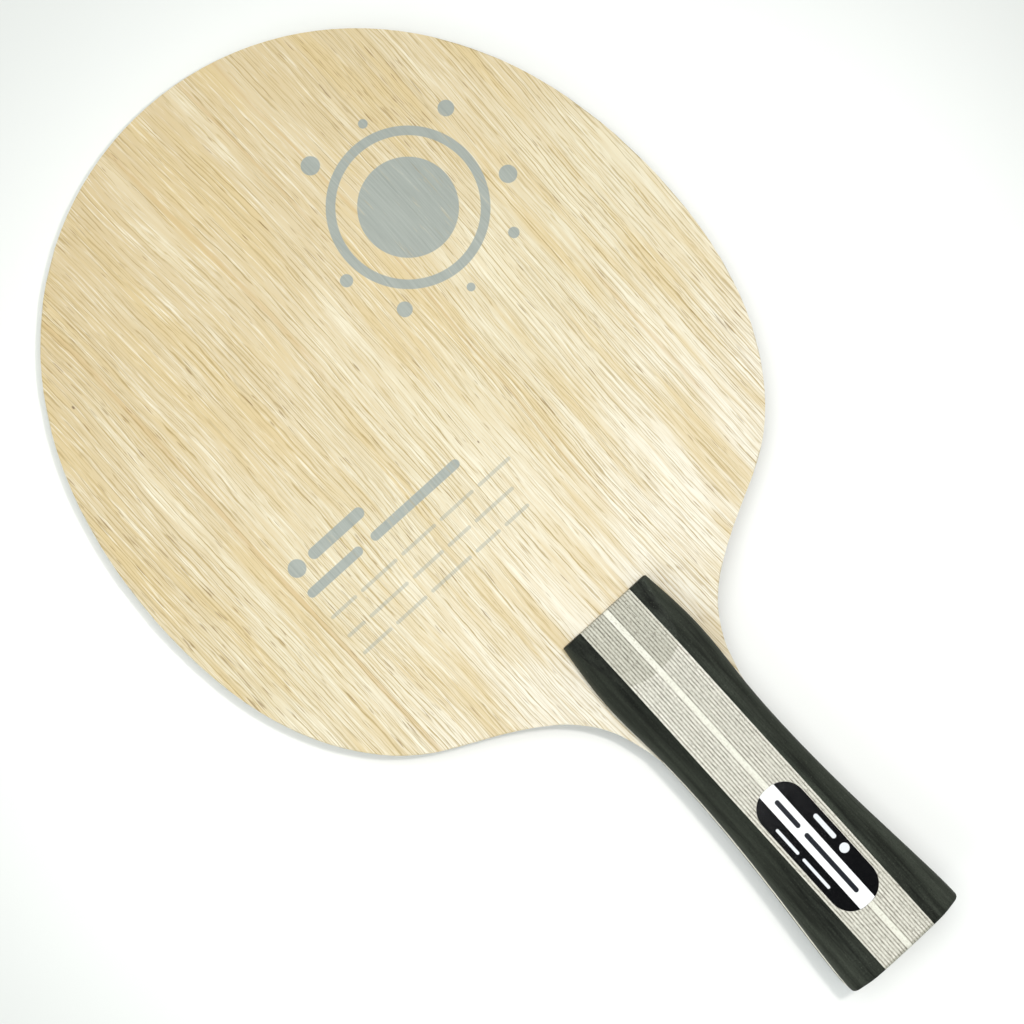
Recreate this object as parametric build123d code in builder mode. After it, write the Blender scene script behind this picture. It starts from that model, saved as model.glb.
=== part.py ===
from build123d import *
import os

# Bare table-tennis blade, flared handle: seven plies of wood and carbon for
# the head and tongue, and a sliced-and-glued laminate scale on each side of
# the tongue. Millimetres. X across the head, Y along the handle with the head
# at +Y, Z through the thickness with the front face at +Z. The origin is the
# middle of the whole blade's box.

os.makedirs("parts", exist_ok=True)

# ---------------------------------------------------------------- dimensions
head_length = 153.3        # tip of the head to the mouth of the handle
handle_length = 100.0      # mouth of the handle to its butt end
head_scale = 1.0055        # the head's outline points below, to real size

limba_t = 0.60             # outer veneers
carbon_t = 0.25            # woven carbon plies
ayous_t = 0.60             # inner veneers
kiri_t = 3.00              # core
bed_depth = 0.05           # glue bed of a scale, sanded into the outer veneer

scale_t = 8.50             # scale's height above the veneer at its crown
crown_radius = 90.0        # crown across the scale
shoulder_w = 5.0           # sloping shoulder along each side of the crown
shoulder_h = 2.9
shoulder_top_radius = 7.0  # blend from the crown into the shoulder
shoulder_side_radius = 3.0 # blend from the shoulder into the side
end_radius = 1.0           # rounded butt end
mouth_radius = 0.35        # broken edge round the mouth
ramp_length = 17.6         # thumb ramp, from the mouth to the crown
ramp_drop = 3.2            # how much lower the scale is at its mouth

stripe_w = 1.34            # white stripe along the middle
laminate_w = 14.70         # stripe and veneers together
veneer_pairs = 9           # grey and pale veneers on each side of the stripe

badge_length = 33.7
badge_width = 11.9
badge_corner = 5.4
badge_x = -0.25            # the badge sits a little off the middle
badge_y = -69.7            # its middle, from the mouth
band_x = -0.42             # white band on the badge
band_w = 4.25
badge_clear = 0.05         # gap between the badge and its pocket's wall
pocket_depth = 0.55        # below the crown
plate_t = 0.25
print_t = 0.10
lens_t = 0.40
lens_radius = 0.20

# half of the head's outline, from the tip round to inside the handle:
# (half width, distance along Y from the mouth), before head_scale
head_points = [
    (0.00, 152.47), (15.14, 150.85), (29.50, 146.05), (42.37, 138.38),
    (53.19, 128.39), (61.71, 116.78), (67.91, 104.21), (72.00, 91.20),
    (74.31, 78.10), (75.18, 65.00), (74.69, 51.83), (72.56, 38.59),
    (68.25, 25.59), (61.25, 13.61), (51.41, 3.74), (39.17, -3.00),
    (27.60, -9.55), (21.10, -14.95), (17.20, -20.20), (14.90, -25.40),
    (13.55, -30.00), (12.30, -36.00),
]

# half of the handle's outline: (half width, distance along Y from the mouth)
handle_points = [
    (12.25, 0.0), (12.98, -6.0), (13.52, -12.0), (13.68, -17.0),
    (13.42, -24.0), (12.98, -30.0), (12.66, -36.5), (12.58, -44.0),
    (12.80, -54.0), (13.42, -66.0), (14.35, -78.0), (15.20, -88.0),
    (15.65, -94.0), (15.85, -100.0),
]

# ------------------------------------------------------------------- derived
total_length = head_length + handle_length
y_mouth = handle_length - total_length / 2
y_butt = y_mouth - handle_length
blade_t = 2 * (limba_t + carbon_t + ayous_t) + kiri_t
z_face = blade_t / 2
z_bed = z_face - bed_depth
z_crown = z_face + scale_t
veneer_w = (laminate_w - stripe_w) / 2 / (2 * veneer_pairs)
badge_mid_y = y_mouth + badge_y
z_pocket = z_crown - pocket_depth


def outline(points, factor=1.0):
    return [(w * factor, y_mouth + y * factor) for w, y in points]


# ------------------------------------------------------------- plan outlines
with BuildSketch(Plane.XY) as handle_plan:
    with BuildLine():
        side = Spline(*outline(handle_points), tangents=[(0.14, -1), (0, -1)])
        other = mirror(side, about=Plane.YZ)
        Line(side @ 0, (-(side @ 0).X, (side @ 0).Y))
        Line(side @ 1, (-(side @ 1).X, (side @ 1).Y))
    make_face()

with BuildSketch(Plane.XY) as tongue_plan:
    add(handle_plan.sketch)
    fillet(tongue_plan.vertices().group_by(Axis.Y)[0], radius=end_radius)

with BuildSketch(Plane.XY) as blade_plan:
    with BuildLine():
        rim = Spline(*outline(head_points, head_scale), tangents=[(1, 0), (-0.2, -1)])
        mirror(rim, about=Plane.YZ)
        Line(rim @ 1, (-(rim @ 1).X, (rim @ 1).Y))
    make_face()
    add(tongue_plan.sketch)

# ---------------------------------------------------------------------- plies
# front_outer_veneer: limba, the striking face, with the glue bed of the scale
with BuildPart() as front_outer_veneer:
    with BuildSketch(Plane.XY.offset(z_face - limba_t)):
        add(blade_plan.sketch)
    extrude(amount=limba_t)
    with BuildSketch(Plane.XY.offset(z_bed)):
        add(handle_plan.sketch)
    extrude(amount=1, mode=Mode.SUBTRACT)
front_outer_veneer.part.label = "front_outer_veneer"
export_step(front_outer_veneer.part, "parts/front_outer_veneer.step")

# front_carbon_ply: woven carbon under the limba
with BuildPart() as front_carbon_ply:
    with BuildSketch(Plane.XY.offset(kiri_t / 2 + ayous_t)):
        add(blade_plan.sketch)
    extrude(amount=carbon_t)
front_carbon_ply.part.label = "front_carbon_ply"
export_step(front_carbon_ply.part, "parts/front_carbon_ply.step")

# front_inner_veneer: ayous
with BuildPart() as front_inner_veneer:
    with BuildSketch(Plane.XY.offset(kiri_t / 2)):
        add(blade_plan.sketch)
    extrude(amount=ayous_t)
front_inner_veneer.part.label = "front_inner_veneer"
export_step(front_inner_veneer.part, "parts/front_inner_veneer.step")

# core: kiri, the thick middle ply
with BuildPart() as core:
    with BuildSketch(Plane.XY.offset(-kiri_t / 2)):
        add(blade_plan.sketch)
    extrude(amount=kiri_t)
core.part.label = "core"
export_step(core.part, "parts/core.step")

# back_inner_veneer
with BuildPart() as back_inner_veneer:
    with BuildSketch(Plane.XY.offset(-kiri_t / 2 - ayous_t)):
        add(blade_plan.sketch)
    extrude(amount=ayous_t)
back_inner_veneer.part.label = "back_inner_veneer"
export_step(back_inner_veneer.part, "parts/back_inner_veneer.step")

# back_carbon_ply
with BuildPart() as back_carbon_ply:
    with BuildSketch(Plane.XY.offset(-kiri_t / 2 - ayous_t - carbon_t)):
        add(blade_plan.sketch)
    extrude(amount=carbon_t)
back_carbon_ply.part.label = "back_carbon_ply"
export_step(back_carbon_ply.part, "parts/back_carbon_ply.step")

# back_outer_veneer: limba, with the glue bed of the back scale
with BuildPart() as back_outer_veneer:
    with BuildSketch(Plane.XY.offset(-z_face)):
        add(blade_plan.sketch)
    extrude(amount=limba_t)
    with BuildSketch(Plane.XY.offset(-z_bed)):
        add(handle_plan.sketch)
    extrude(amount=-1, mode=Mode.SUBTRACT)
back_outer_veneer.part.label = "back_outer_veneer"
export_step(back_outer_veneer.part, "parts/back_outer_veneer.step")

# --------------------------------------------------- shape of a handle scale
# The glued-up scale before it is told apart into its strips: flared in plan,
# crowned across, with rounded shoulders, a thumb ramp and a rounded butt.
with BuildPart() as scale_form:
    with BuildSketch(Plane.XY.offset(z_bed)):
        add(handle_plan.sketch)
    extrude(amount=scale_t + bed_depth + 1)
    # crown across the scale
    with BuildSketch(Plane.XZ.offset(-y_mouth - 5)):
        with Locations((0, z_crown - crown_radius)):
            Circle(crown_radius)
    extrude(amount=handle_length + 10, mode=Mode.INTERSECT)
    # shoulders along both sides
    for sign in (-1, 1):
        crown_face = scale_form.faces().filter_by(GeomType.CYLINDER).sort_by(SortBy.AREA)[-1]
        long_edge = crown_face.edges().sort_by(lambda e: sign * e.center().X)[-1]
        chamfer(long_edge, length=shoulder_w, length2=shoulder_h, reference=crown_face)
    crown_face = scale_form.faces().filter_by(GeomType.CYLINDER).sort_by(SortBy.AREA)[-1]
    fillet(crown_face.edges().group_by(lambda e: round(abs(e.center().X), 0))[-1],
           radius=shoulder_top_radius)
    side_faces = [scale_form.faces().sort_by(lambda f: sign * f.center().X)[-1] for sign in (-1, 1)]
    fillet([f.edges().sort_by(Axis.Z)[-1] for f in side_faces], radius=shoulder_side_radius)
    # thumb ramp
    with BuildSketch(Plane.YZ):
        with BuildLine():
            Polyline((y_mouth - ramp_length, z_crown), (y_mouth + 2, z_crown - ramp_drop * (1 + 2 / ramp_length)),
                     (y_mouth + 2, z_crown + 2), (y_mouth - ramp_length, z_crown + 2), close=True)
        make_face()
    extrude(amount=30, both=True, mode=Mode.SUBTRACT)
    # rounded butt end, and a lightly broken edge round the mouth
    butt = scale_form.faces().sort_by(Axis.Y)[0]
    fillet(butt.edges().filter_by(lambda e: e.center().Z > z_bed + 0.01), radius=end_radius)
    mouth = scale_form.faces().sort_by(Axis.Y)[-1]
    fillet(mouth.edges().filter_by(lambda e: e.center().Z > z_bed + 0.01), radius=mouth_radius)

# the front scale has a shallow pocket for the badge
with BuildPart() as front_form:
    add(scale_form.part)
    with BuildSketch(Plane.XY.offset(z_pocket)):
        with Locations((badge_x, badge_mid_y)):
            RectangleRounded(badge_width + 2 * badge_clear, badge_length + 2 * badge_clear,
                             badge_corner + badge_clear)
    extrude(amount=5, mode=Mode.SUBTRACT)

with BuildPart() as back_form:
    add(mirror(scale_form.part, about=Plane.XY))

# ------------------------------------------------------- strips of each scale
forms = {"front": front_form.part, "back": back_form.part}
strip_length = handle_length + 10
strip_mid_y = (y_mouth + y_butt) / 2

for face, form in forms.items():
    # the stained side blocks; left is -X seen from the front, head up
    for hand, sign in (("left", -1), ("right", 1)):
        with BuildPart() as side_block:
            add(form)
            with BuildSketch(Plane.XY.offset(-40)):
                with Locations((sign * (laminate_w / 2 + 20), strip_mid_y)):
                    Rectangle(40, strip_length)
            extrude(amount=80, mode=Mode.INTERSECT)
        side_block.part.label = f"{face}_scale_{hand}_block"
        export_step(side_block.part, f"parts/{face}_scale_{hand}_block.step")

    # the white stripe along the middle
    with BuildPart() as centre_stripe:
        add(form)
        with BuildSketch(Plane.XY.offset(-40)):
            with Locations((0, strip_mid_y)):
                Rectangle(stripe_w, strip_length)
        extrude(amount=80, mode=Mode.INTERSECT)
    centre_stripe.part.label = f"{face}_scale_centre_stripe"
    export_step(centre_stripe.part, f"parts/{face}_scale_centre_stripe.step")

    # the thin veneers, grey next to the stripe and pale next to the blocks;
    # the two veneers at the same distance from the middle share a node
    for n in range(2 * veneer_pairs):
        x_mid = stripe_w / 2 + (n + 0.5) * veneer_w
        shade = "grey" if n % 2 == 0 else "pale"
        with BuildPart() as veneer_pair:
            add(form)
            with BuildSketch(Plane.XY.offset(-40)):
                with Locations((x_mid, strip_mid_y), (-x_mid, strip_mid_y)):
                    Rectangle(veneer_w, strip_length)
            extrude(amount=80, mode=Mode.INTERSECT)
        name = f"{face}_scale_{shade}_veneer_{n // 2 + 1}"
        veneer_pair.part.label = name
        export_step(veneer_pair.part, f"parts/{name}.step")

# ---------------------------------------------------------------------- badge
# badge_plate: thin aluminium plate glued into the pocket
with BuildPart() as badge_plate:
    with BuildSketch(Plane.XY.offset(z_pocket)):
        with Locations((badge_x, badge_mid_y)):
            RectangleRounded(badge_width, badge_length, badge_corner)
    extrude(amount=plate_t)
badge_plate.part.label = "badge_plate"
export_step(badge_plate.part, "parts/badge_plate.step")

# badge_white_band: the white middle of the printed film
with BuildPart() as badge_white_band:
    with BuildSketch(Plane.XY.offset(z_pocket + plate_t)):
        with Locations((badge_x, badge_mid_y)):
            RectangleRounded(badge_width, badge_length, badge_corner)
        with Locations((band_x, badge_mid_y)):
            Rectangle(band_w, badge_length + 4, mode=Mode.INTERSECT)
    extrude(amount=print_t)
badge_white_band.part.label = "badge_white_band"
export_step(badge_white_band.part, "parts/badge_white_band.step")

# badge_black_panels: the two black sides of the printed film
with BuildPart() as badge_black_panels:
    with BuildSketch(Plane.XY.offset(z_pocket + plate_t)):
        with Locations((badge_x, badge_mid_y)):
            RectangleRounded(badge_width, badge_length, badge_corner)
        with Locations((band_x, badge_mid_y)):
            Rectangle(band_w, badge_length + 4, mode=Mode.SUBTRACT)
    extrude(amount=print_t)
badge_black_panels.part.label = "badge_black_panels"
export_step(badge_black_panels.part, "parts/badge_black_panels.step")

# badge_lens: clear resin cover with a softened edge
with BuildPart() as badge_lens:
    with BuildSketch(Plane.XY.offset(z_pocket + plate_t + print_t)):
        with Locations((badge_x, badge_mid_y)):
            RectangleRounded(badge_width, badge_length, badge_corner)
    extrude(amount=lens_t)
    fillet(badge_lens.faces().sort_by(Axis.Z)[-1].edges(), radius=lens_radius)
badge_lens.part.label = "badge_lens"
export_step(badge_lens.part, "parts/badge_lens.step")
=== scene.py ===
import math

import bmesh
import bpy
from mathutils import Matrix, Vector


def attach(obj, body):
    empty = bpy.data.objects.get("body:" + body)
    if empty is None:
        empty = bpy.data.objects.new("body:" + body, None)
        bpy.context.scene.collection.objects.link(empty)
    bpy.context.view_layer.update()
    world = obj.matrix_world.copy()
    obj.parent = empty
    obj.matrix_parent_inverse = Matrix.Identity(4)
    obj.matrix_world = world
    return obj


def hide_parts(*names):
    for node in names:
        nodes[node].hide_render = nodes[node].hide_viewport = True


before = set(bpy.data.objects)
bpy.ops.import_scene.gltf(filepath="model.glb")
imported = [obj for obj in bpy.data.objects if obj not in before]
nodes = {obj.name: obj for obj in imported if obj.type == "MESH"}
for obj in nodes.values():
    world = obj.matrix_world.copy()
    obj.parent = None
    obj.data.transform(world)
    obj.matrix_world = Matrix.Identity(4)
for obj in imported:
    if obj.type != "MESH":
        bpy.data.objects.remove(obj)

scene = bpy.context.scene
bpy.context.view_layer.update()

MM = 0.001
Y_MOUTH = -26.65          # where the handle starts on the face, mm


# ---------------------------------------------------------------- node helpers
def lin(c):
    """A display colour, 0 to 255, as linear light."""
    out = []
    for v in c:
        v = v / 255.0
        out.append(v / 12.92 if v <= 0.04045 else ((v + 0.055) / 1.055) ** 2.4)
    return (out[0], out[1], out[2], 1.0)


class G:
    """Builds one material's nodes."""

    def __init__(self, name):
        m = bpy.data.materials.get(name) or bpy.data.materials.new(name)
        m.use_nodes = True
        self.mat = m
        self.nt = m.node_tree
        self.nt.nodes.clear()
        self.out = self.nt.nodes.new("ShaderNodeOutputMaterial")
        self.bsdf = self.nt.nodes.new("ShaderNodeBsdfPrincipled")
        self.nt.links.new(self.bsdf.outputs[0], self.out.inputs[0])
        tc = self.nt.nodes.new("ShaderNodeTexCoord")
        sc = self.nt.nodes.new("ShaderNodeVectorMath")
        sc.operation = "SCALE"
        sc.inputs["Scale"].default_value = 1000.0
        self.nt.links.new(tc.outputs["Object"], sc.inputs[0])
        self.p = sc.outputs[0]
        self.x, self.y, self.z = self.sep(self.p)
        self.nx, self.ny, self.nz = self.sep(tc.outputs["Normal"])

    def put(self, sock, v):
        if isinstance(v, bpy.types.NodeSocket):
            self.nt.links.new(v, sock)
        elif isinstance(v, (tuple, list)) and sock.type == "RGBA" and len(v) == 3:
            sock.default_value = (*v, 1.0)
        else:
            sock.default_value = v

    def sep(self, v):
        n = self.nt.nodes.new("ShaderNodeSeparateXYZ")
        self.put(n.inputs[0], v)
        return n.outputs[0], n.outputs[1], n.outputs[2]

    def vec(self, x, y, z=0.0):
        n = self.nt.nodes.new("ShaderNodeCombineXYZ")
        for i, v in enumerate((x, y, z)):
            self.put(n.inputs[i], v)
        return n.outputs[0]

    def m(self, op, a, b=None, c=None, clamp=False):
        n = self.nt.nodes.new("ShaderNodeMath")
        n.operation = op
        n.use_clamp = clamp
        for i, v in enumerate((a, b, c)):
            if v is not None:
                self.put(n.inputs[i], v)
        return n.outputs[0]

    def add(self, a, b):
        return self.m("ADD", a, b)

    def sub(self, a, b):
        return self.m("SUBTRACT", a, b)

    def mul(self, a, b):
        return self.m("MULTIPLY", a, b)

    def mad(self, a, b, c):
        return self.m("MULTIPLY_ADD", a, b, c)

    def mx(self, a, b):
        return self.m("MAXIMUM", a, b)

    def mn(self, a, b):
        return self.m("MINIMUM", a, b)

    def ab(self, a):
        return self.m("ABSOLUTE", a)

    def noise(self, v, detail=2.0, rough=0.5, scale=1.0, dist=0.0):
        n = self.nt.nodes.new("ShaderNodeTexNoise")
        n.noise_dimensions = "3D"
        self.put(n.inputs["Vector"], v)
        n.inputs["Scale"].default_value = scale
        n.inputs["Detail"].default_value = detail
        n.inputs["Roughness"].default_value = rough
        n.inputs["Distortion"].default_value = dist
        return n.outputs[0]

    def voro(self, v, randomness=1.0, out="Distance"):
        n = self.nt.nodes.new("ShaderNodeTexVoronoi")
        n.voronoi_dimensions = "3D"
        self.put(n.inputs["Vector"], v)
        n.inputs["Scale"].default_value = 1.0
        n.inputs["Randomness"].default_value = randomness
        return n.outputs[out]

    def st(self, v, a, b, lo=0.0, hi=1.0):
        """Smooth step of v from a to b, giving lo to hi."""
        n = self.nt.nodes.new("ShaderNodeMapRange")
        n.interpolation_type = "SMOOTHSTEP"
        self.put(n.inputs["Value"], v)
        for name, k in (("From Min", a), ("From Max", b), ("To Min", lo), ("To Max", hi)):
            self.put(n.inputs[name], k)
        return n.outputs[0]

    def ln(self, v, a, b, lo=0.0, hi=1.0):
        n = self.nt.nodes.new("ShaderNodeMapRange")
        n.clamp = True
        self.put(n.inputs["Value"], v)
        for name, k in (("From Min", a), ("From Max", b), ("To Min", lo), ("To Max", hi)):
            self.put(n.inputs[name], k)
        return n.outputs[0]

    def ramp(self, fac, stops, interp="LINEAR"):
        n = self.nt.nodes.new("ShaderNodeValToRGB")
        n.color_ramp.interpolation = interp
        e = n.color_ramp.elements
        while len(e) > 1:
            e.remove(e[-1])
        e[0].position, e[0].color = stops[0][0], stops[0][1]
        for p, c in stops[1:]:
            k = e.new(p)
            k.color = c
        self.put(n.inputs[0], fac)
        return n.outputs[0]

    def mix(self, fac, a, b, blend="MIX"):
        n = self.nt.nodes.new("ShaderNodeMix")
        n.data_type = "RGBA"
        n.blend_type = blend
        n.clamp_factor = True
        rgba = [s for s in n.inputs if s.type == "RGBA"]
        fl = [s for s in n.inputs if s.type == "VALUE"]
        self.put(fl[0], fac)
        self.put(rgba[0], a)
        self.put(rgba[1], b)
        return [s for s in n.outputs if s.type == "RGBA"][0]

    def grey(self, v):
        n = self.nt.nodes.new("ShaderNodeCombineColor")
        for i in range(3):
            self.put(n.inputs[i], v)
        return n.outputs[0]

    def bump(self, height, distance, strength=1.0):
        n = self.nt.nodes.new("ShaderNodeBump")
        n.inputs["Strength"].default_value = strength
        n.inputs["Distance"].default_value = distance
        self.put(n.inputs["Height"], height)
        self.put(self.bsdf.inputs["Normal"], n.outputs[0])

    def set(self, **k):
        names = dict(color="Base Color", rough="Roughness", metal="Metallic",
                     spec="Specular IOR Level", alpha="Alpha", ior="IOR",
                     coat="Coat Weight", coat_rough="Coat Roughness",
                     aniso="Anisotropic", sheen="Sheen Weight")
        for key, v in k.items():
            self.put(self.bsdf.inputs[names[key]], v)

    # plain shapes for printing, each 1 inside and 0 outside, soft over 0.1 mm
    def disc(self, x, y, cx, cy, r, soft=0.09):
        dx, dy = self.sub(x, cx), self.sub(y, cy)
        d = self.m("SQRT", self.add(self.mul(dx, dx), self.mul(dy, dy)))
        return self.st(d, r - soft, r + soft, 1.0, 0.0)

    def ring(self, x, y, cx, cy, r, w, soft=0.09):
        dx, dy = self.sub(x, cx), self.sub(y, cy)
        d = self.m("SQRT", self.add(self.mul(dx, dx), self.mul(dy, dy)))
        return self.st(self.ab(self.sub(d, r)), w / 2 - soft, w / 2 + soft, 1.0, 0.0)

    def bar(self, x, y, x0, x1, y0, y1, soft=0.09):
        """A bar with half-round ends."""
        r = min(abs(x1 - x0), abs(y1 - y0)) / 2
        dx = self.mx(self.sub(self.ab(self.sub(x, (x0 + x1) / 2)), abs(x1 - x0) / 2 - r), 0.0)
        dy = self.mx(self.sub(self.ab(self.sub(y, (y0 + y1) / 2)), abs(y1 - y0) / 2 - r), 0.0)
        d = self.m("SQRT", self.add(self.mul(dx, dx), self.mul(dy, dy)))
        return self.st(d, r - soft, r + soft, 1.0, 0.0)

    def union(self, shapes):
        total = shapes[0]
        for s in shapes[1:]:
            total = self.mx(total, s)
        return total


# ---------------------------------------------------------------- limba faces
def limba(name, seed, printed):
    """Pale open-pored face veneer, its grain along the paddle."""
    g = G(name)
    x, y = g.x, g.y
    # the grain leans and wanders a little
    slow = g.noise(g.vec(g.mul(x, 0.012), g.mul(y, 0.008), seed + 0.3), 0.0)
    quick = g.noise(g.vec(g.mul(x, 0.075), g.mul(y, 0.026), seed + 1.7), 1.0)
    xs = g.add(x, g.add(g.mul(g.sub(slow, 0.5), 9.0), g.mul(g.sub(quick, 0.5), 2.2)))
    xs = g.mad(y, 0.012, xs)

    band = g.noise(g.vec(g.mul(xs, 0.20), g.mul(y, 0.012), seed + 3.1), 3.0, 0.6)
    fibre = g.noise(g.vec(g.mul(xs, 1.9), g.mul(y, 0.060), seed + 6.2), 3.0, 0.7)
    cloud = g.noise(g.vec(g.mul(x, 0.10), g.mul(y, 0.026), seed + 9.9), 2.0, 0.5)

    # paler towards the handle, tan towards the tip: partly the wood's own tone, partly painted light, brighter near
    # the handle where the lamps fall strongest
    along = g.add(y, g.add(g.mul(g.sub(band, 0.5), 30.0), g.mul(g.sub(cloud, 0.5), 30.0)))
    along = g.mad(x, -0.28, along)
    t = g.ln(along, -30.0, 128.0)
    wood = g.ramp(t, [
        (0.00, lin((246, 241, 226))),
        (0.18, lin((239, 231, 208))),
        (0.36, lin((230, 220, 191))),
        (0.58, lin((223, 208, 174))),
        (0.80, lin((218, 201, 164))),
        (1.00, lin((214, 194, 154))),
    ])
    # warm patches drawn out along the grain, and paler fibres between
    warm = g.add(g.mul(band, 0.62), g.mul(cloud, 0.38))
    wood = g.mix(g.st(warm, 0.47, 0.62, 0.0, 0.68), wood, lin((221, 199, 149)))
    wood = g.mix(g.st(warm, 0.36, 0.46, 0.32, 0.0), wood, lin((250, 243, 218)))
    wood = g.mix(g.ln(fibre, 0.34, 0.56, 0.42, 0.0), wood, lin((220, 197, 148)))
    wood = g.mix(g.mul(g.ln(fibre, 0.54, 0.70, 0.0, 0.56), g.ln(x, -60.0, 50.0, 1.3, 0.9)), wood, lin((254, 249, 230)))

    # where growth rings run out on the surface
    def line(x0, half, ya, yb, strength):
        d = g.ab(g.sub(xs, x0))
        s = g.st(d, half * 0.25, half, strength, 0.0)
        return g.mul(s, g.mul(g.st(y, ya - 12.0, ya + 12.0), g.st(y, yb - 12.0, yb + 12.0, 1.0, 0.0)))

    rings = g.union([
        line(-47.8, 1.0, -80.0, 200.0, 0.55),
        line(-11.5, 0.9, 55.0, 200.0, 0.50),
        line(9.2, 0.6, 82.0, 200.0, 0.50),
        line(18.0, 0.45, -12.0, 200.0, 0.55),
        line(52.5, 0.8, -8.0, 36.0, 0.45),
    ])
    wood = g.mix(rings, wood, lin((209, 180, 128)))

    # long fine vessel lines, broken here and there, and short darker ones
    patch = g.noise(g.vec(g.mul(xs, 0.065), g.mul(y, 0.015), seed + 11.0), 1.0)
    dens = g.add(g.mul(g.sub(patch, 0.5), 0.34), g.add(g.ln(x, -75.0, -10.0, 0.036, -0.008), g.ln(y, 60.0, -30.0, -0.01, 0.02)))

    dens = g.add(dens, g.ln(x, 15.0, 60.0, 0.0, 0.040))

    jit = g.noise(g.vec(g.mul(x, 0.8), g.mul(y, 0.11), seed + 23.0), 2.0, 0.6)
    xj = g.mad(g.sub(jit, 0.5), 0.9, xs)

    def vessels(pitch, wander, half, seg, sd, thr):
        """Fine lines along the grain, each with its own breaks: (where, how strong)."""
        w = g.noise(g.vec(g.mul(xs, 0.27), g.mul(y, 0.013), sd), 1.0)
        u = g.mad(xj, 1.0 / pitch, g.mul(w, wander))
        which = g.m("FLOOR", u)
        rnd = g.nt.nodes.new("ShaderNodeTexWhiteNoise")
        rnd.noise_dimensions = "1D"
        g.put(rnd.inputs["W"], g.add(which, sd))
        own = rnd.outputs[0]
        d = g.ab(g.sub(g.m("FRACT", u), g.mad(own, 0.5, 0.25)))
        runs = g.noise(g.vec(g.mul(which, 7.31), g.mul(y, seg), sd + 3.0), 2.0, 0.6)
        runs = g.st(g.add(runs, dens), thr, thr + 0.10)
        thick = g.mul(half / pitch, g.mad(runs, 0.6, 0.4))
        on = g.ln(g.m("DIVIDE", d, thick), 0.45, 1.0, 1.0, 0.0)
        return g.mul(g.mul(on, runs), g.mad(own, 0.55, 0.45))

    la = vessels(1.02, 1.7, 0.15, 0.050, seed + 13.0, 0.43)
    lb = vessels(0.57, 2.1, 0.11, 0.070, seed + 37.0, 0.41)
    p3 = g.noise(g.vec(g.mul(xs, 2.3), g.mul(y, 0.15), seed + 19.0), 1.0, 0.5)
    p3 = g.st(g.add(p3, g.mul(dens, 0.7)), 0.685, 0.76)
    wood = g.mix(g.mul(la, 0.74), wood, lin((172, 148, 92)))
    wood = g.mix(g.mul(lb, 0.66), wood, lin((190, 167, 112)))
    wood = g.mix(g.mul(p3, 0.60), wood, lin((134, 106, 64)))
    pores = g.mx(g.mul(la, 0.7), g.mx(g.mul(lb, 0.5), p3))

    # a touch deeper all over
    wood = g.mix(1.0, wood, (0.765, 0.757, 0.750), "MULTIPLY")

    # tiny dark knots
    knots = g.union([g.disc(xs, g.mul(y, 0.5), a, b * 0.5, r, 0.12) for a, b, r in
                     ((32.0, 61.5, 0.26), (-56.0, 87.0, 0.22), (5.0, 20.5, 0.16))])
    wood = g.mix(g.mul(knots, 0.75), wood, lin((86, 62, 42)))

    rough = g.ln(pores, 0.0, 1.0, 0.60, 0.80)
    height = g.mul(la, -1.0)

    if printed:
        def ry(v):
            return v * 1.0055 + Y_MOUTH

        shapes = [
            g.disc(x, y, 28.7, ry(96.6), 11.5),
            g.ring(x, y, 28.7, ry(96.6), 17.5, 2.2),
        ]
        for cx, cy, r in ((33.8, 117.4, 1.1), (18.6, 118.2, 2.2), (50.2, 107.6, 1.9),
                          (7.2, 93.5, 1.5), (50.6, 87.2, 2.1), (12.6, 80.0, 1.8),
                          (27.1, 73.8, 1.0), (42.6, 76.5, 1.3)):
            shapes.append(g.disc(x, y, cx, ry(cy), r))
        heavy = g.union(shapes)
        lines = [g.disc(x, y, -44.4, ry(53.0), 2.1)]
        for x0, x1, yc, h in ((-40.6, -24.6, 53.0, 2.7), (-46.6, -30.6, 46.7, 2.2),
                              (-27.6, -1.4, 46.7, 2.2)):
            lines.append(g.bar(x, y, x0, x1, ry(yc - h / 2), ry(yc + h / 2)))
        heavy = g.union([heavy] + lines)
        words = []
        for yc, row in ((39.6, (-46.2, -38.6, -37.2, -26.4, -25.0, -14.8, -13.4, -3.4, -2.0, 7.8)),
                        (34.1, (-46.2, -41.0, -39.6, -28.0, -26.6, -17.4, -16.0, -9.2, -7.8, 3.8)),
                        (29.0, (-46.2, -37.6, -36.2, -27.0, -25.6, -13.6, -12.2, -4.8, -3.4, 3.8))):
            for k in range(0, len(row), 2):
                words.append(g.bar(x, y, row[k], row[k + 1], ry(yc - 0.42), ry(yc + 0.42)))
        light = g.mul(g.union(words), 0.50)
        ink = g.mx(heavy, light)
        wear = g.noise(g.vec(g.mul(xs, 1.2), g.mul(y, 0.12), seed + 29.0), 3.0, 0.6)
        ink = g.mul(ink, g.st(g.add(wear, g.mul(pores, -0.18)), 0.24, 0.40, 0.70, 0.97))
        grey = g.mix(g.ln(fibre, 0.3, 0.7), lin((131, 138, 133)), lin((145, 151, 145)))
        wood = g.mix(ink, wood, grey)
        rough = g.m("MULTIPLY_ADD", ink, -0.14, rough)

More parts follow.
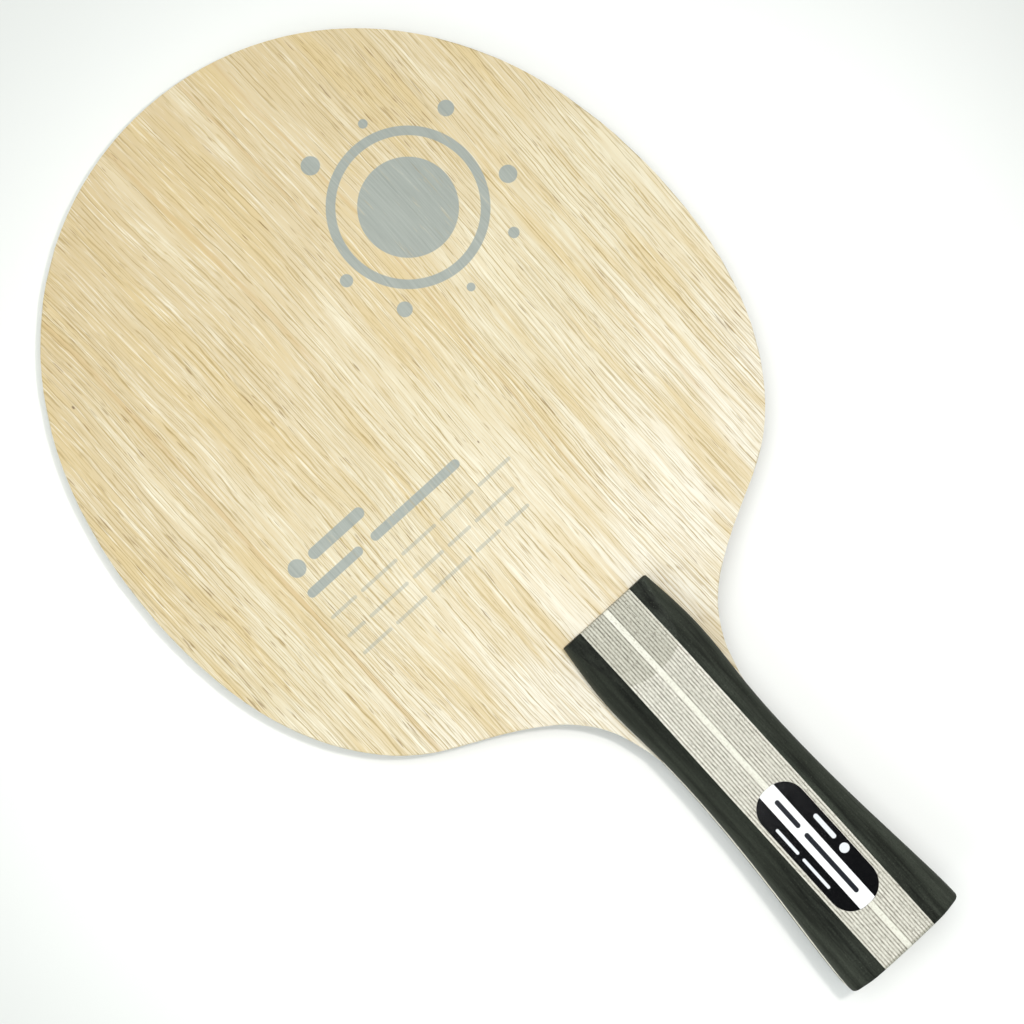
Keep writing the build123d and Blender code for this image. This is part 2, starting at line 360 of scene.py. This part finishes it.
    # the sawn and sanded rim
    side = g.st(g.ab(g.nz), 0.35, 0.85, 1.0, 0.0)
    around = g.noise(g.vec(g.mul(x, 0.5), g.mul(y, 0.5), g.mul(g.z, 9.0)), 3.0, 0.6)
    rim = g.mix(around, lin((212, 196, 158)), lin((236, 224, 190)))
    # painted light: the rim beside the handle is painted paler, standing in for light on an edge that lies in shade
    rim = g.mix(g.st(y, -44.0, -30.0, 0.75, 0.0), rim, lin((244, 242, 226)))
    ends = g.noise(g.vec(g.mul(x, 3.0), g.mul(y, 3.0), g.mul(g.z, 5.0)), 2.0, 0.6)
    rim = g.mix(g.st(ends, 0.60, 0.72, 0.0, 0.55), rim, lin((150, 124, 86)))
    wood = g.mix(side, wood, rim)
    g.set(color=wood, rough=rough, spec=0.35)
    g.bump(height, 0.00003, 0.6)
    return g.mat


# ---------------------------------------------------------------- other woods
def wood_edge(name, base, dark, pore, grain, seed):
    """A veneer or core seen at its sanded edge; grain is 0 across the paddle and 1 along it."""
    g = G(name)
    sx, sy = (0.06, 1.6) if grain == 0 else (1.6, 0.06)
    v = g.vec(g.mul(g.x, sx), g.mul(g.y, sy), g.mul(g.z, 2.4))
    long_ = g.noise(v, 3.0, 0.6)
    tone = g.noise(g.vec(g.mul(g.x, sx * 0.2), g.mul(g.y, sy * 0.2), g.mul(g.z, 0.4)), 2.0, 0.5)
    col = g.mix(g.ln(g.add(long_, g.mul(g.sub(tone, 0.5), 0.6)), 0.30, 0.70), lin(dark), lin(base))
    # open ends of the vessels where the cut runs across the grain
    across = g.ab(g.nx) if grain == 0 else g.ab(g.ny)
    cells = g.voro(g.vec(g.mul(g.x, 2.6), g.mul(g.y, 2.6), g.mul(g.z, 2.6)))
    dots = g.mul(g.st(cells, 0.10, 0.26, 1.0, 0.0), g.st(across, 0.25, 0.75))
    runs = g.noise(g.vec(g.mul(g.x, sx * 1.6 + 0.02), g.mul(g.y, sy * 1.6 + 0.02), g.mul(g.z, 4.5)), 2.0, 0.6)
    runs = g.mul(g.st(runs, 0.60, 0.70), g.st(across, 0.25, 0.85, 1.0, 0.0))
    p = g.mx(dots, g.mul(runs, 0.8))
    col = g.mix(g.mul(p, 0.7), col, lin(pore))
    scorch = g.noise(g.vec(g.mul(g.x, 0.05), g.mul(g.y, 0.05), 3.0), 2.0, 0.5)
    col = g.mix(g.st(scorch, 0.50, 0.75, 0.0, 0.30), col, lin(dark))
    g.set(color=col, rough=g.ln(p, 0.0, 1.0, 0.66, 0.85), spec=0.3)
    g.bump(g.sub(g.mul(long_, 0.4), p), 0.00006, 0.9)
    return g.mat


def carbon(name):
    """Woven carbon cloth in resin: tows 1.6 mm wide, each at right angles to the next."""
    g = G(name)
    d = 1.0 / 1.6
    ix = g.m("FLOOR", g.mul(g.x, d))
    iy = g.m("FLOOR", g.mul(g.y, d))
    odd = g.m("FLOORED_MODULO", g.add(ix, iy), 2.0)
    fa = g.noise(g.vec(g.mul(g.x, 0.8), g.mul(g.y, 16.0), g.mul(g.z, 16.0)), 2.0, 0.6)
    fb = g.noise(g.vec(g.mul(g.x, 16.0), g.mul(g.y, 0.8), g.mul(g.z, 16.0)), 2.0, 0.6)
    f = g.add(g.mul(fa, odd), g.mul(fb, g.sub(1.0, odd)))
    col = g.mix(g.ln(f, 0.3, 0.7), lin((18, 18, 20)), lin((52, 53, 55)))
    col = g.mix(g.mul(odd, 0.35), col, lin((30, 31, 34)))
    spots = g.noise(g.vec(g.mul(g.x, 1.1), g.mul(g.y, 1.1), g.mul(g.z, 7.0)), 3.0, 0.6)
    col = g.mix(g.st(spots, 0.60, 0.75, 0.0, 0.35), col, lin((92, 84, 70)))
    g.set(color=col, rough=g.ln(f, 0.3, 0.7, 0.34, 0.52), spec=0.5)
    g.bump(f, 0.00003, 0.6)
    return g.mat


def black_wood(name):
    """Wood stained black right through: fine pores, with painted sheen paler on the rounded edges and painted shade on
    the left block.
    """
    g = G(name)
    lean = g.noise(g.vec(g.mul(g.x, 0.05), g.mul(g.y, 0.02), g.mul(g.z, 0.05)), 1.0)
    xs = g.mad(g.sub(lean, 0.5), 2.0, g.x)
    zs = g.mad(g.sub(lean, 0.5), 1.5, g.z)
    broad = g.noise(g.vec(g.mul(xs, 0.50), g.mul(g.y, 0.030), g.mul(zs, 0.50)), 3.0, 0.6)
    fine = g.noise(g.vec(g.mul(xs, 3.4), g.mul(g.y, 0.12), g.mul(zs, 3.4)), 3.0, 0.6)
    pore = g.noise(g.vec(g.mul(xs, 3.0), g.mul(g.y, 0.30), g.mul(zs, 3.0)), 2.0, 0.5)
    pore = g.st(pore, 0.58, 0.68)
    col = g.mix(g.ln(broad, 0.36, 0.66), lin((16, 18, 15)), lin((56, 60, 53)))
    col = g.mix(g.ln(fine, 0.40, 0.75, 0.0, 0.22), col, lin((64, 68, 60)))
    col = g.mix(g.mul(pore, 0.22), col, lin((6, 8, 6)))
    grit = g.noise(g.vec(g.mul(g.x, 3.2), g.mul(g.y, 2.4), g.mul(g.z, 3.2)), 3.0, 0.75)
    col = g.mix(g.ln(grit, 0.30, 0.50, 0.50, 0.0), col, lin((8, 10, 8)))
    col = g.mix(g.st(grit, 0.60, 0.74, 0.0, 0.40), col, lin((104, 108, 96)))
    # painted shade: the left block is darkened, less towards the butt, for the side turned away from the key lamp
    deep = g.mul(g.st(g.x, -1.0, 1.0, 1.0, 0.0), g.st(g.y, -116.0, -90.0, 0.15, 1.0))
    col = g.mix(deep, col, (0.56, 0.57, 0.55), "MULTIPLY")
    # painted sheen: paler where it is rounded off towards the sides, for light caught at a grazing angle
    col = g.mix(g.st(g.ab(g.nx), 0.36, 0.98, 0.0, 0.38), col, lin((80, 84, 74)))
    # end grain at the butt and the mouth
    end = g.st(g.ab(g.ny), 0.55, 0.85)
    cells = g.voro(g.vec(g.mul(g.x, 3.2), g.mul(g.y, 3.2), g.mul(g.z, 3.2)))
    endc = g.mix(g.st(cells, 0.12, 0.36), lin((14, 14, 13)), lin((47, 48, 44)))
    col = g.mix(end, col, endc)
    g.set(color=col, rough=g.ln(fine, 0.3, 0.7, 0.50, 0.66), spec=0.07)
    g.bump(g.sub(g.mul(fine, 0.6), g.mul(pore, 0.9)), 0.00008, 0.9)
    return g.mat


def strip_wood(name, lo, hi, speck, seed, core=None):
    """A thin dyed veneer standing on edge: long fibres, small pores, a slow change of tone."""
    g = G(name)
    tone = g.noise(g.vec(g.mul(g.x, 0.9), g.mul(g.y, 0.012), seed), 2.0, 0.5)
    fib = g.noise(g.vec(g.mul(g.x, 6.5), g.mul(g.y, 0.22), g.mul(g.z, 2.0)), 3.0, 0.65)
    dash = g.noise(g.vec(g.mul(g.x, 3.6), g.mul(g.y, 0.75), g.mad(g.z, 1.2, seed)), 2.0, 0.6)
    v = g.add(g.mul(g.sub(tone, 0.5), 0.9), g.mul(g.sub(fib, 0.5), 0.8))
    v = g.add(v, g.mul(g.sub(dash, 0.5), 0.6))
    col = g.mix(g.ln(v, -0.32, 0.32), lin(lo), lin(hi))
    if core is not None:
        # the dye is deepest in the middle of each strip
        u = g.m("FRACT", g.m("DIVIDE", g.sub(g.ab(g.x), 0.67), 0.7422))
        deep = g.st(g.ab(g.sub(u, 0.25)), 0.05, 0.17, 1.0, 0.0)
        col = g.mix(g.mul(deep, g.ln(dash, 0.34, 0.60, 1.0, 0.15)), col, lin(core))
    spots = g.st(g.noise(g.vec(g.mul(g.x, 4.0), g.mul(g.y, 1.1), g.mad(g.z, 2.0, seed + 5.0)), 2.0, 0.6), 0.59, 0.69)
    col = g.mix(g.mul(spots, 0.65), col, lin(speck))
    grit = g.noise(g.vec(g.mul(g.x, 3.1), g.mul(g.y, 2.2), seed + 9.0), 2.0, 0.7)
    col = g.mix(g.st(grit, 0.52, 0.68, 0.0, 0.55), col, lin(speck))
    end = g.st(g.ab(g.ny), 0.55, 0.85)
    cells = g.voro(g.vec(g.mul(g.x, 4.5), g.mul(g.y, 4.5), g.mul(g.z, 4.5)))
    endc = g.mix(g.st(cells, 0.10, 0.40), lin(speck), lin(lo))
    col = g.mix(g.mul(end, 0.7), col, endc)
    # painted shade: the slope by the mouth is darkened, as it faces away from the light; the white stripe is left out
    if core is not None or seed > 5.0:
        slope = g.mul(g.st(g.ab(g.ny), 0.07, 0.15), g.sub(1.0, end))
        col = g.mix(g.mul(slope, 0.85), col, (0.76, 0.765, 0.73), "MULTIPLY")
    g.set(color=col, rough=g.ln(fib, 0.3, 0.7, 0.52, 0.68), spec=0.35)
    g.bump(g.sub(fib, spots), 0.00004, 0.7)
    return g.mat


# ---------------------------------------------------------------- badge
def badge_metal(name):
    g = G(name)
    brush = g.noise(g.vec(g.mul(g.x, 14.0), g.mul(g.y, 0.5), g.mul(g.z, 14.0)), 3.0, 0.6)
    col = g.mix(brush, lin((178, 180, 184)), lin((214, 215, 218)))
    g.set(color=col, rough=g.ln(brush, 0.3, 0.7, 0.26, 0.44), metal=1.0, spec=0.5)
    g.bump(brush, 0.00001, 0.5)
    return g.mat


def printed_film(name, ground, ink, bars, discs, seed):
    """Printed film: a very slightly mottled ground with plain bars."""
    g = G(name)
    mott = g.noise(g.vec(g.mul(g.x, 1.4), g.mul(g.y, 1.4), seed), 3.0, 0.6)
    dots = g.noise(g.vec(g.mul(g.x, 9.0), g.mul(g.y, 9.0), seed + 2.0), 1.0, 0.5)
    lo = tuple(max(0, c - 5) for c in ground)
    hi = tuple(min(255, c + 3) for c in ground)
    col = g.mix(g.add(g.mul(mott, 0.7), g.mul(dots, 0.3)), lin(lo), lin(hi))
    shapes = [g.bar(g.x, g.y, a, b, c, d, 0.06) for a, b, c, d in bars]
    shapes += [g.disc(g.x, g.y, a, b, r, 0.06) for a, b, r in discs]
    mask = g.union(shapes)
    col = g.mix(g.mul(mask, 0.99), col, lin(ink))
    g.set(color=col, rough=g.ln(mott, 0.2, 0.8, 0.11, 0.17), spec=0.30)
    g.bump(mott, 0.00001, 0.05)
    return g.mat


def clear_lens(name):
    g = G(name)
    haze = g.noise(g.vec(g.mul(g.x, 0.6), g.mul(g.y, 0.6), g.mul(g.z, 0.6)), 3.0, 0.6)
    col = g.mix(haze, (0.020, 0.020, 0.022), (0.035, 0.035, 0.038))
    g.set(color=col, rough=g.ln(haze, 0.3, 0.7, 0.03, 0.09), spec=0.5, alpha=0.03)
    g.bump(haze, 0.00002, 0.15)
    g.mat.surface_render_method = "BLENDED"
    return g.mat


def yr(v):
    """Distance from the mouth along the handle, as a place on the paddle."""
    return Y_MOUTH + v * 0.994


limba_front = limba("limba_front", 2.0, True)
limba_back = limba("limba_back", 61.0, False)
LOOKS = {
    "carbon_ply": carbon("carbon_ply"),
    "inner_veneer": wood_edge("inner_veneer", (249, 246, 230), (238, 233, 212), (184, 170, 138), 0, 3.0),
    "core_wood": wood_edge("core_wood", (248, 245, 230), (237, 231, 211), (176, 161, 128), 1, 7.0),
    "black_wood": black_wood("black_wood"),
    "white_veneer": strip_wood("white_veneer", (206, 204, 192), (223, 222, 211), (170, 164, 148), 1.0),
    "grey_veneer": strip_wood("grey_veneer", (154, 151, 140), (190, 187, 175), (82, 76, 66), 4.0, (100, 94, 82)),
    "pale_veneer": strip_wood("pale_veneer", (187, 185, 173), (220, 217, 207), (112, 106, 93), 8.0),
    "badge_metal": badge_metal("badge_metal"),
    "badge_white": printed_film("badge_white", (246, 247, 249), (20, 22, 32),
                                ((-0.95, 0.20, yr(-64.4), yr(-56.4)), (-0.95, 0.20, yr(-83.6), yr(-66.2))), (), 3.0),
    "badge_black": printed_film("badge_black", (4, 5, 7), (226, 229, 233),
                                ((-4.85, -4.15, yr(-68.6), yr(-61.2)), (-4.85, -4.15, yr(-78.8), yr(-70.0)),
                                 (3.4, 4.5, yr(-71.4), yr(-64.4))), ((3.95, yr(-74.4), 1.15),), 5.0),
    "badge_lens": clear_lens("badge_lens"),
}


# ---------------------------------------------------------------- the two face veneers
def faced(node, name, top, radius, material):
    """The face veneer with its rim sanded round. top is +1 for the front and -1 for the back."""
    src = nodes[node].data
    bm = bmesh.new()
    bm.from_mesh(src)
    bmesh.ops.remove_doubles(bm, verts=bm.verts, dist=2e-6)
    for f in bm.faces:
        f.normal_update()
    zt = max(v.co.z * top for v in bm.verts)

    def flat(f):
        return abs(f.normal.z) > 0.999

    joins = [e for e in bm.edges if len(e.link_faces) == 2 and all(flat(f) for f in e.link_faces)
             and e.link_faces[0].normal.dot(e.link_faces[1].normal) > 0.999
             and all(abs(f.calc_center_median().z - e.link_faces[0].calc_center_median().z) < 1e-5
                     for f in e.link_faces)]
    bmesh.ops.dissolve_edges(bm, edges=joins, use_verts=False, use_face_split=False)
    for f in bm.faces:
        f.normal_update()
    tops = [f for f in bm.faces if f.normal.z * top > 0.99 and abs(f.calc_center_median().z * top - zt) < 1e-5]
    tops.sort(key=lambda f: -f.calc_area())
    face = tops[0]
    loop = [lp.vert for lp in face.loops]
    n = len(loop)
    edges = [lp.edge for lp in face.loops]          # edge i goes from loop[i] to loop[i+1]

    def tall(e):
        other = [f for f in e.link_faces if f is not face]
        if not other:
            return False
        zs = [v.co.z for v in other[0].verts]
        return max(zs) - min(zs) > 0.0002

    rim_edge = [tall(e) for e in edges]
    low = min(loop[i].co.y for i in range(n) if rim_edge[i] or rim_edge[i - 1])
    inward, weight = [], []
    for i in range(n):
        a, b, c = loop[i - 1].co, loop[i].co, loop[(i + 1) % n].co
        e1, e2 = (b - a), (c - b)
        n1 = Vector((-e1.y, e1.x, 0)).normalized() * top
        n2 = Vector((-e2.y, e2.x, 0)).normalized() * top
        both = rim_edge[i - 1] and rim_edge[i]
        if both:
            m = (n1 + n2).normalized()
            k = 1.0 / max(0.5, m.dot(n1))
            s = min(1.0, max(0.0, (b.y - low) / 0.005))
            weight.append(s * s * (3 - 2 * s))
            inward.append(m * k)
        else:
            weight.append(0.0)
            inward.append(Vector((0, 0, 0)))
    bm.faces.remove(face)
    steps = 5
    rings = []
    base = [v.co.copy() for v in loop]
    for k in range(steps + 1):
        th = math.pi / 2 * k / steps
        ring = []
        for i in range(n):
            r = radius * weight[i]
            if r < 1e-7:
                ring.append(loop[i])
                continue
            co = base[i] + inward[i] * (r * (1 - math.cos(th))) - Vector((0, 0, top * r * (1 - math.sin(th))))
            if k == 0:
                loop[i].co = co
                ring.append(loop[i])
            else:
                ring.append(bm.verts.new(co))
        rings.append(ring)
    for k in range(steps):
        for i in range(n):
            j = (i + 1) % n
            quad = []
            for v in (rings[k][i], rings[k][j], rings[k + 1][j], rings[k + 1][i]):
                if v not in quad:
                    quad.append(v)
            if len(quad) >= 3:
                f = bm.faces.new(quad)
                f.smooth = True
    cap = bm.faces.new(rings[-1])
    cap.smooth = False
    bmesh.ops.recalc_face_normals(bm, faces=bm.faces)
    for f in bm.faces:
        if f is not cap:
            f.smooth = not (abs(f.normal.z) > 0.999)
    bmesh.ops.triangulate(bm, faces=[f for f in bm.faces if len(f.verts) > 4],
                          quad_method="BEAUTY", ngon_method="BEAUTY")
    for e in bm.edges:
        fs = e.link_faces
        level = any(abs(f.normal.z) > 0.999 for f in fs)
        e.smooth = not level and len(fs) == 2 and fs[0].normal.dot(fs[1].normal) > 0.77
    me = bpy.data.meshes.new(name)
    bm.to_mesh(me)
    bm.free()
    me.materials.append(material)
    ob = bpy.data.objects.new(name, me)
    scene.collection.objects.link(ob)
    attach(ob, "root")
    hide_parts(node)
    return ob


faced("front_outer_veneer", "front_face_veneer", 1, 0.00035, limba_front)
faced("back_outer_veneer", "back_face_veneer", -1, 0.00035, limba_back)

def lens_piece():
    """The clear resin dome, its underside a hair above the print."""
    bm = bmesh.new()
    bm.from_mesh(nodes["badge_lens"].data)
    bmesh.ops.remove_doubles(bm, verts=bm.verts, dist=2e-6)
    low = min(v.co.z for v in bm.verts)
    bed = [v for v in bm.verts if v.co.z < low + 2e-6]
    flat = [e for e in bm.edges if len(e.link_faces) == 2
            and all(abs(f.normal.z) > 0.999 for f in e.link_faces)
            and e.link_faces[0].normal.z * e.link_faces[1].normal.z > 0]
    bmesh.ops.dissolve_edges(bm, edges=flat, use_verts=False, use_face_split=False)
    for v in bed:
        v.co.z += 0.00003
    top = max((f for f in bm.faces if f.normal.z > 0.999), key=lambda f: f.calc_area())
    bmesh.ops.inset_region(bm, faces=[top], thickness=0.0006, depth=0.0, use_even_offset=True)
    bmesh.ops.triangulate(bm, faces=[f for f in bm.faces if len(f.verts) > 4],
                          quad_method="BEAUTY", ngon_method="BEAUTY")
    for f in bm.faces:
        f.smooth = abs(f.normal.z) < 0.999
    for e in bm.edges:
        fs = e.link_faces
        e.smooth = len(fs) == 2 and fs[0].normal.dot(fs[1].normal) > 0.77
    me = bpy.data.meshes.new("badge_clear_dome")
    bm.to_mesh(me)
    bm.free()
    me.materials.append(LOOKS["badge_lens"])
    ob = bpy.data.objects.new("badge_clear_dome", me)
    scene.collection.objects.link(ob)
    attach(ob, "root")
    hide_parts("badge_lens")
    return ob


lens_piece()

for name, ob in nodes.items():
    for s in ob.material_slots:
        key = s.material.name.split(".")[0]
        if key in LOOKS:
            s.material = LOOKS[key]
        elif key == "limba_veneer":
            s.material = limba_front if name.startswith("front") else limba_back


# ---------------------------------------------------------------- floor, light, camera
def floor():
    a = Vector((0, 126.65, -2.95)) * MM            # back edge of the tip
    b = Vector((0, -44.25, -11.45)) * MM           # where the back of the handle starts to slope
    d = (a - b).normalized()
    up = Vector((1, 0, 0)).cross(d)
    mid = (a + b) / 2 - up * 0.00002
    bm = bmesh.new()
    cells, half = 24, 1.6
    grid = [[bm.verts.new(mid + Vector((1, 0, 0)) * (half * (2 * i / cells - 1)) + d * (half * (2 * j / cells - 1)))
             for i in range(cells + 1)] for j in range(cells + 1)]
    for j in range(cells):
        for i in range(cells):
            bm.faces.new((grid[j][i], grid[j][i + 1], grid[j + 1][i + 1], grid[j + 1][i]))
    me = bpy.data.meshes.new("floor")
    bm.to_mesh(me)
    bm.free()
    g = G("floor_paper")
    soft = g.noise(g.vec(g.mul(g.x, 0.012), g.mul(g.y, 0.012), 1.0), 2.0, 0.5)
    tooth = g.noise(g.vec(g.mul(g.x, 2.0), g.mul(g.y, 2.0), 4.0), 2.0, 0.6)
    col = g.mix(soft, (0.850, 0.855, 0.848), (0.870, 0.875, 0.868))
    # painted light fall-off: the floor darkens with distance from a spot near the handle, slower towards the butt
    fx, fy = g.sub(g.x, 5.0), g.add(g.y, 15.0)
    fy = g.mx(fy, g.mul(fy, -0.45))
    far = g.m("SQRT", g.add(g.mul(fx, fx), g.mul(fy, fy)))
    col = g.mix(g.st(far, 72.0, 200.0), col, (0.605, 0.615, 0.600))
    g.set(color=col, rough=0.9, spec=0.05)
    g.bump(tooth, 0.00002, 0.3)
    me.materials.append(g.mat)
    ob = bpy.data.objects.new("floor", me)
    scene.collection.objects.link(ob)
    return ob


floor()

world = bpy.data.worlds.new("studio")
scene.world = world
world.use_nodes = True
bg = world.node_tree.nodes.get("Background")
sky = world.node_tree.nodes.new("ShaderNodeTexCoord")
part = world.node_tree.nodes.new("ShaderNodeSeparateXYZ")
band = world.node_tree.nodes.new("ShaderNodeValToRGB")
world.node_tree.links.new(sky.outputs["Generated"], part.inputs[0])
world.node_tree.links.new(part.outputs[2], band.inputs[0])
world.node_tree.links.new(band.outputs[0], bg.inputs[0])
band.color_ramp.elements[0].position = 0.86     # the ceiling straight above is darker than the walls
band.color_ramp.elements[0].color = (0.93, 1.0, 0.985, 1.0)
band.color_ramp.elements[1].position = 0.95
band.color_ramp.elements[1].color = (0.10, 0.105, 0.11, 1.0)
bg.inputs[1].default_value = 0.50


def lamp(name, loc, aim, size, power, colour):
    data = bpy.data.lights.new(name, "AREA")
    data.shape = "DISK"
    data.size = size
    data.energy = power
    data.color = colour
    ob = bpy.data.objects.new(name, data)
    scene.collection.objects.link(ob)
    ob.location = loc
    ob.rotation_mode = "QUATERNION"
    ob.rotation_quaternion = (Vector(aim) - Vector(loc)).to_track_quat("-Z", "Y")
    return ob


lamp("key", (0.058, -0.030, 0.520), (0.0, -0.05, 0.0), 0.026, 0.86, (1.0, 0.955, 0.92))
lamp("fill_near", (0.0, 0.06, 0.65), (0.0, 0.0, 0.0), 0.42, 2.75, (0.99, 1.0, 0.99))
lamp("fill_left", (-0.62, 0.02, 0.60), (0.0, -0.02, 0.0), 0.6, 2.0, (0.96, 1.0, 0.985))

cam_data = bpy.data.cameras.new("camera")
cam_data.lens = 2436.28 / 1024 * 36.0
cam_data.sensor_width = 36.0
cam_data.clip_start = 0.01
cam_data.clip_end = 20.0
cam = bpy.data.objects.new("camera", cam_data)
scene.collection.objects.link(cam)
right = Vector((0.740290, -0.671629, 0.029756))
upv = Vector((0.670115, 0.740730, 0.047597))
back = Vector((-0.054009, -0.015296, 0.998423))
rot = Matrix((right, upv, back)).transposed().to_4x4()
rot.translation = Vector((-29.76, -4.65, 549.51)) * MM
cam.matrix_world = rot
scene.camera = cam
scene.view_settings.view_transform = "Standard"
scene.view_settings.look = "None"

bpy.context.view_layer.update()
